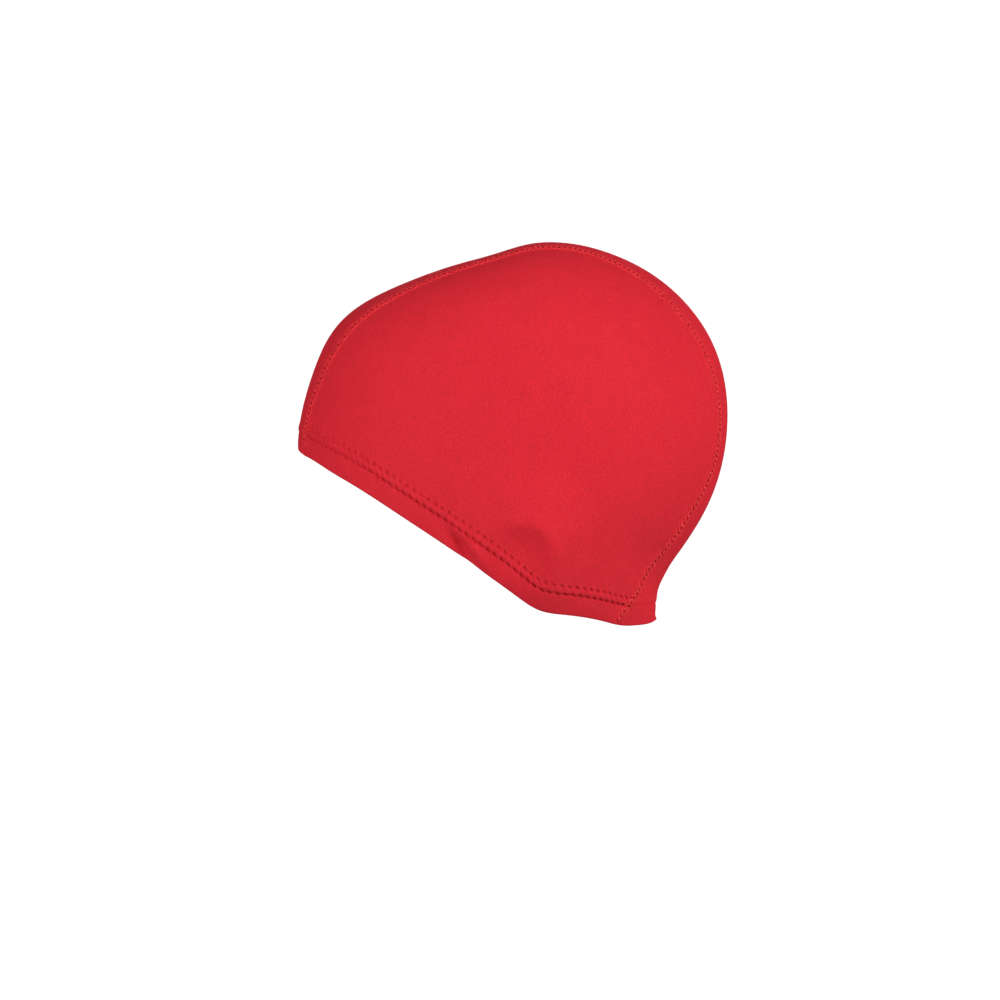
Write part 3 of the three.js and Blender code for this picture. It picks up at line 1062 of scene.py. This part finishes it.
# %% Surface of the centre panel
def centre_panel(name, material):
    """The closed centre panel."""
    lift, depth = fold_profile()
    size = np.abs(column_share)[:, None]
    clearance = -seam_gap / 2
    heights = np.concatenate([[hem_height], lift])[None, :]
    fronts = front_crossing(size, clearance, heights)
    napes = nape_crossing(size, clearance, heights)
    samples = 901
    way = np.linspace(0, 1, samples)
    over = fronts[:, :1] + (napes[:, :1] - fronts[:, :1]) * way
    lines = np.array([evenly(line, over_stations) for line in lengthwise(size, clearance, over)])
    nape_hem = lengthwise(size, clearance, napes[:, 1:])
    front_hem = lengthwise(size, clearance, fronts[:, 1:])[:, ::-1]
    places = np.concatenate([lines, nape_hem, lines[:, ::-1], front_hem], axis=1)
    count = over_stations + 1
    folded = len(lift)
    flat = np.zeros(count)
    depths = np.concatenate([flat, depth, flat + cloth_thickness, depth[::-1]])
    lifts = np.concatenate([flat, lift, flat, lift[::-1]])
    outside = np.clip(1 - depths / fold_radius, 0, 1)
    outside[count + folded : 2 * count + folded] = 0
    pinch = hem_inner_pinch(lifts) * (depths > cloth_thickness + 1e-6)
    grid = cloth_point(places, depths - pinch, centre_relief(places, size) * outside)
    grid[..., 2] += end_rise(form_point(places))
    grid[..., 0] *= np.where(column_share < 0, -1, 1)[:, None]
    numbers = np.arange(grid.shape[0] * grid.shape[1]).reshape(grid.shape[:2])
    run = run_along(grid[len(grid) // 2])
    knit = np.stack(np.broadcast_arrays(run[None, :], grid[..., 0]), axis=-1).reshape(-1, 2)

    def cut_edge(loop):
        over = loop[:count]
        nape = loop[count : count + folded]
        under = loop[count + folded : 2 * count + folded][::-1]
        front = loop[2 * count + folded :]
        nape_end = np.concatenate([over[-1:], nape, under[-1:]])
        front_end = np.concatenate([over[:1], front[::-1], under[:1]])
        ends = [hem_end(nape_end), hem_end(front_end)[:, ::-1]]
        return np.concatenate([strip_faces(over, under), *ends])

    quads = np.concatenate(
        [
            grid_faces(numbers, closed=True)[:, ::-1],
            cut_edge(numbers[0]),
            cut_edge(numbers[-1])[:, ::-1],
        ]
    )
    return make_mesh(name, grid.reshape(-1, 3), quads, np.zeros((0, 3), int), knit, material)


centre_cloth = centre_panel("centre_cloth", centre_knit)

# %% [markdown]
# ## Threads
# A flat seam is held by two straight rows of stitches and a thread that runs to and fro between
# them. A curve with a bevel could be bent into that shape, but then every stitch would be placed by
# hand. Here a thread is a path worked out from its distance to the seam, and a tube with six sides
# is carried along it, which is round enough for so thin a thread.


# %% Tubes along paths
def tube(path, normal, radius, sides):
    """Points, faces and knit map of a tube: path + r cos a normal + r sin a (tangent x normal)."""
    tangent = unit(np.gradient(path, axis=0))
    aside = unit(np.cross(tangent, normal))
    out = np.cross(aside, tangent)
    turn = np.linspace(0, 2 * np.pi, sides, endpoint=False)
    points = (
        path[:, None]
        + radius * np.cos(turn)[None, :, None] * out[:, None]
        + radius * np.sin(turn)[None, :, None] * aside[:, None]
    )
    numbers = np.arange(points.shape[0] * sides).reshape(-1, sides)
    run = run_along(path)
    knit = np.stack(np.broadcast_arrays(run[:, None] / mm, turn[None, :] / np.pi), axis=-1)
    return points.reshape(-1, 3), numbers, knit.reshape(-1, 2)


def threads(name, paths, radius, material, sides=6):
    """One object from several paths, each a pair of points and normals."""
    points, quads, ends, knit = [], [], [], []
    start = 0
    for path, normal in paths:
        corners, numbers, chart = tube(path, normal, radius, sides)
        points.append(corners)
        knit.append(chart)
        quads.append(start + grid_faces(numbers, closed=True))
        for ring, order in ((numbers[0], -1), (numbers[-1], 1)):
            fan = np.stack([np.full(sides - 2, ring[0]), ring[1:-1], ring[2:]], axis=-1)
            ends.append(start + fan[:, ::-order])
        start += len(corners)
    arrays = [np.concatenate(parts) for parts in (points, quads, ends, knit)]
    return make_mesh(name, *arrays, material)


def mirrored(paths):
    """The same paths on the right side."""
    flip = np.array([-1.0, 1.0, 1.0])
    return [(path * flip, normal * flip) for path, normal in paths]


# %% [markdown]
# ## Seam stitches
# The two needle rows lie on the side panel, less than one and almost five millimetres from the
# join. Their stitches dip into the cloth at each needle hole. The thread between them runs to and
# fro, one turn for each stitch, and lies on top.

# %% Seam threads
thread_radius = 0.27 * mm
row_height = 0.16 * mm
dip_depth = 0.5 * mm
end_lift = 0.6 * mm
steps_per_stitch = 10


def on_cloth(inside, run, height):
    """Points and normals at distances inside the seam and runs along it, at a height."""
    places = seam_place(inside, run)
    points = cloth_point(places, 0.0, outer_relief(places) + height)
    return points, form_normal(places)


seam_start = float(seam_measure(lengthwise(1.0, 0.0, front_crossing(1.0, 0.0, end_lift)))[1])
seam_end = float(seam_measure(lengthwise(1.0, 0.0, nape_crossing(1.0, 0.0, end_lift)))[1])
first_run = seam_pitch * np.ceil(min(seam_start, seam_end) / seam_pitch)
stitch_count = int((max(seam_start, seam_end) - first_run) / seam_pitch) - 1
stitch = np.arange(stitch_count * steps_per_stitch + 1) / steps_per_stitch
seam_line_run = first_run + stitch * seam_pitch

# Needle rows dip at each hole, and the crossing thread swings between them
dip = 0.5 + 0.5 * np.cos(2 * np.pi * stitch)
swing_across = np.arcsin(0.97 * np.cos(2 * np.pi * stitch)) / quarter_turn
band_middle = (band_near + band_far) / 2
band_half = (band_far - band_near) / 2
arch = (0.3 - 0.35 * np.abs(swing_across) ** 4) * mm
seam_paths = [
    on_cloth(band_near + 0 * stitch, seam_line_run, row_height - dip_depth * dip),
    on_cloth(band_far + 0 * stitch, seam_line_run + seam_pitch / 2, row_height - dip_depth * dip),
    on_cloth(band_middle - band_half * swing_across, seam_line_run, arch),
]
left_seam = threads("seam_thread_left", seam_paths, thread_radius, seam_thread)
right_seam = threads("seam_thread_right", mirrored(seam_paths), thread_radius, seam_thread)

# %% [markdown]
# ## Hem stitches
# Two needle rows run along the hem of each side panel. On the outside only their short straight
# stitches show, sunk in the pits. Across the centre panel, where the cloth is pulled tight, only
# the pits go on.

# %% Hem threads
hem_thread_radius = 0.15 * mm
hem_thread_height = 0.08 * mm
hem_thread_sink = 0.5 * mm
stitch_half = 1.1 * mm


def hem_row(lift, shift, count=24):
    """The path of one needle row on a side panel, in view only in the stitches' pits."""
    steps = int(hem_run[-1] / hem_pitch) * count
    places = level_lines([lift], steps)[0]
    points = form_point(places)
    run = run_of(points)
    sunk = 1 - block(from_stitch(run, hem_pitch, shift), stitch_half)
    height = hem_thread_height - hem_thread_sink * sunk
    return cloth_point(places, 0.0, outer_relief(places) + height), form_normal(places)


hem_paths = [hem_row(lower_row, 0.0), hem_row(upper_row, 0.5)]
left_hem = threads("hem_thread_left", hem_paths, hem_thread_radius, hem_thread)
right_hem = threads("hem_thread_right", mirrored(hem_paths), hem_thread_radius, hem_thread)

# %% [markdown]
# ## Riding on the body
# Every piece rides on the one body of the cap, and each panel stands for the solid that it dresses,
# whose own mesh is hidden. The three panels are sheets of cloth that are stretched when worn.

for piece, node, slot in (
    (left_cloth, "side_panel_left", "side_knit"),
    (centre_cloth, "centre_panel", "centre_knit"),
    (right_cloth, "side_panel_right", "side_knit"),
):
    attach(piece, "root")
    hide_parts(node)
for piece in (left_seam, right_seam, left_hem, right_hem):
    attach(piece, "root")

# %% [markdown]
# ## Floor and backdrop
# The cap hangs in front of a plain pale sweep: a floor that curves up into a wall all round, so
# that no corner shows behind it. It gives the cloth no light or reflection and takes no shadow, or
# it would flood the cap with light from every side.


# %% Sweep
def sweep(name, radius, floor, corner, height, turns=96):
    """A round floor that curves up into a wall: a profile turned about the upright axis."""
    bend = np.linspace(0, quarter_turn, 12)
    across = np.concatenate([[0.001], radius - corner + corner * np.sin(bend), [radius]])
    up = np.concatenate([[floor], floor + corner * (1 - np.cos(bend)), [height]])
    turn = np.linspace(0, 2 * np.pi, turns, endpoint=False)
    points = np.stack(
        [
            across[:, None] * np.cos(turn)[None, :],
            across[:, None] * np.sin(turn)[None, :],
            np.broadcast_to(up[:, None], (len(up), len(turn))),
        ],
        axis=-1,
    )
    numbers = np.arange(points.shape[0] * points.shape[1]).reshape(points.shape[:2])
    quads = grid_faces(numbers, closed=True)
    centre = np.array([[0.0, 0.0, floor]])
    middle = np.full(turns, numbers.size)
    fan = np.stack([middle, numbers[0], np.roll(numbers[0], -1)], axis=-1)
    material = bpy.data.materials.new("pale_paper")
    material.use_nodes = True
    shader = material.node_tree.nodes["Principled BSDF"]
    shader.inputs["Base Color"].default_value = (0.8, 0.8, 0.8, 1.0)
    shader.inputs["Roughness"].default_value = 0.9
    shader.inputs["Emission Color"].default_value = (1.0, 1.0, 1.0, 1.0)
    shader.inputs["Emission Strength"].default_value = 0.85
    corners = np.concatenate([points.reshape(-1, 3), centre])
    return make_mesh(name, corners, quads, fan, corners[:, :2], material)


backdrop = sweep("pale_sweep", radius=4.5, floor=-0.9, corner=1.5, height=5.0)
backdrop.visible_diffuse = False
backdrop.visible_glossy = False
backdrop.visible_shadow = False

# %% [markdown]
# ## Light
# Cloth this matt shows its form only by how its shade changes, so large soft lights stand all
# round it. The strongest two are on either side of the camera, and one more lights the far side.
# One hard lamp would cut dark shadows into the creases. The far light gives no gloss, or the cloth
# would have a white rim where it turns away. A dim world, brighter towards the key, fills the rest.


# %% Lights
def soft_light(name, direction, distance, size, power):
    """A square soft light that looks at the middle of the cap from a direction."""
    data = bpy.data.lights.new(name, "AREA")
    data.size = size
    data.energy = power
    light = bpy.data.objects.new(name, data)
    middle = np.array([0.0, -0.02, -0.09])
    towards = unit(np.array(direction, float))
    light.location = middle + distance * towards
    flat = np.hypot(towards[0], towards[1])
    light.rotation_euler = (np.arctan2(flat, towards[2]), 0.0, np.arctan2(towards[0], -towards[1]))
    light.visible_camera = False
    bpy.context.scene.collection.objects.link(light)
    return light


albedo = knit_red[0]
light_distance = 1.7
for name, azimuth, elevation, size, share in (
    ("key_box", 40, 24, 1.0, 0.38),
    ("fill_box", -42, -3, 1.0, 0.35),
    ("side_box", 75, 10, 1.0, 0.18),
    ("high_box", -25, 48, 1.0, 0.12),
    ("rear_box", 90, -40, 1.0, 0.2),
    ("fore_box", -80, -40, 1.0, 0.12),
    ("far_box", 180, 15, 1.0, 0.35),
):
    turn = np.radians(azimuth)
    climb = np.radians(elevation)
    direction = (np.cos(climb) * np.cos(turn), np.cos(climb) * np.sin(turn), np.sin(climb))
    power = share / albedo * np.pi**2 * light_distance**2
    light = soft_light(name, direction, light_distance, size, power)
    light.visible_glossy = bool(direction[0] > 0)


# %% Light all round
def soft_room(name, direction, dim, bright):
    """A world whose light grows evenly from dim, behind the cap, to bright, where the key stands."""
    room = bpy.data.worlds.new(name)
    room.use_nodes = True
    nodes = room.node_tree.nodes
    links = room.node_tree.links
    place = nodes.new("ShaderNodeTexCoord")
    towards = nodes.new("ShaderNodeVectorMath")
    towards.operation = "DOT_PRODUCT"
    towards.inputs[1].default_value = direction
    links.new(place.outputs["Generated"], towards.inputs[0])
    grow = nodes.new("ShaderNodeMapRange")
    grow.inputs["From Min"].default_value = -1.0
    grow.inputs["From Max"].default_value = 1.0
    grow.inputs["To Min"].default_value = dim
    grow.inputs["To Max"].default_value = bright
    links.new(towards.outputs["Value"], grow.inputs["Value"])
    links.new(grow.outputs["Result"], nodes["Background"].inputs["Strength"])
    nodes["Background"].inputs["Color"].default_value = (1.0, 1.0, 1.0, 1.0)
    return room


bpy.context.scene.world = soft_room("soft_room", (0.9, 0.1, 0.42), dim=0.06, bright=0.18)
bpy.context.scene.view_settings.view_transform = "Standard"
